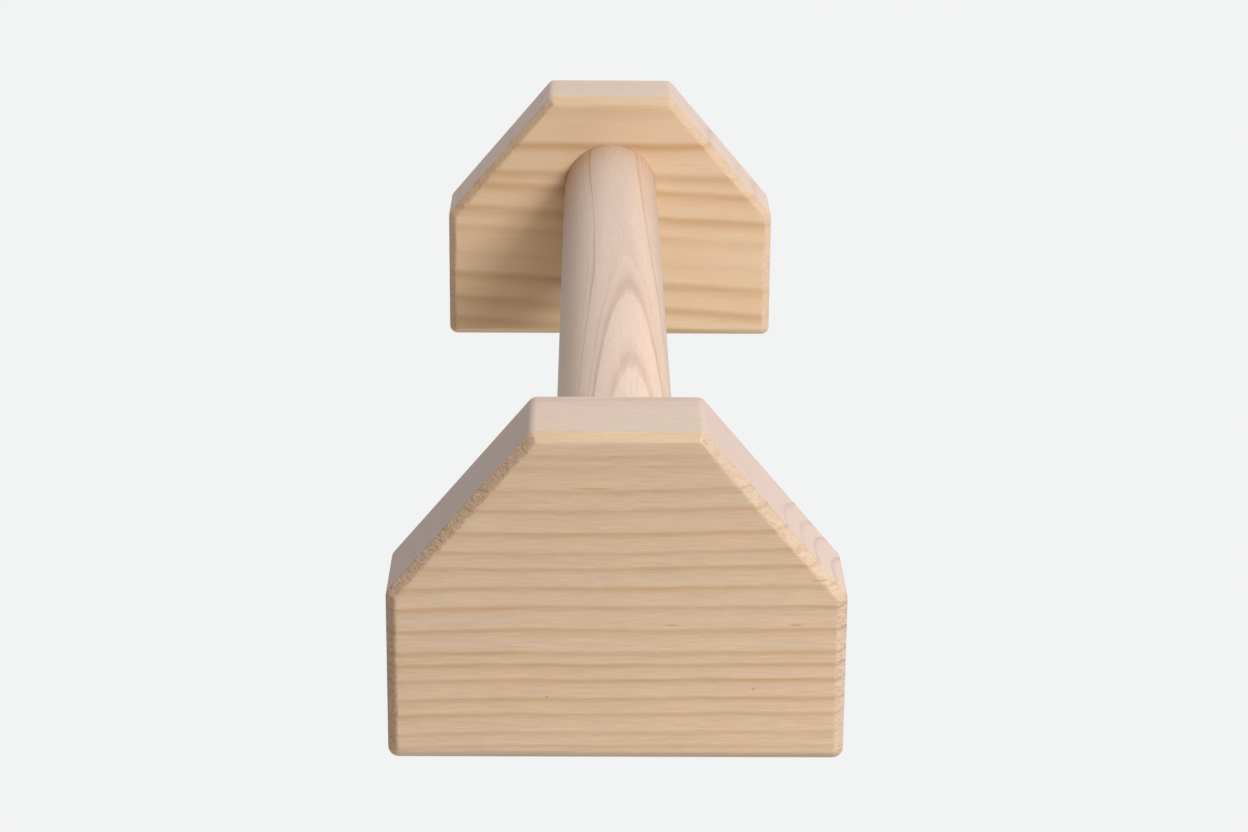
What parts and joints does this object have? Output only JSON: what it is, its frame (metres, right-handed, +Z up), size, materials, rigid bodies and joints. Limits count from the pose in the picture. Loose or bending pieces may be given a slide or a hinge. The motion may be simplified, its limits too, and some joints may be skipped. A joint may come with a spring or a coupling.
{
  "type": "parallette",
  "caption": "Low wooden floor bar: a round grip bar held between two upright boards with sloping shoulders, as used for push-ups and handstands.",
  "frame": {"origin": "on the floor, under the middle of the bar", "axes": "+Y along the bar from the front foot to the rear foot, +X to the right across the bar, +Z up"},
  "size_m": [0.124, 0.428, 0.094],
  "materials": {
    "front_foot_wood": "planed and sanded softwood board, straight grain across the face, bare or thinly oiled",
    "rear_foot_wood": "planed and sanded softwood board, wider and browner growth rings, bare or thinly oiled",
    "bar_wood": "turned and sanded softwood dowel, pale pinkish, arched grain on top",
    "zinc_steel": "zinc-plated steel"
  },
  "bodies": {
    "root": {"front_foot": "front_foot_wood", "rear_foot": "rear_foot_wood", "grip_bar": "bar_wood", "front_screw": "zinc_steel", "rear_screw": "zinc_steel"}
  },
  "joints": []
}
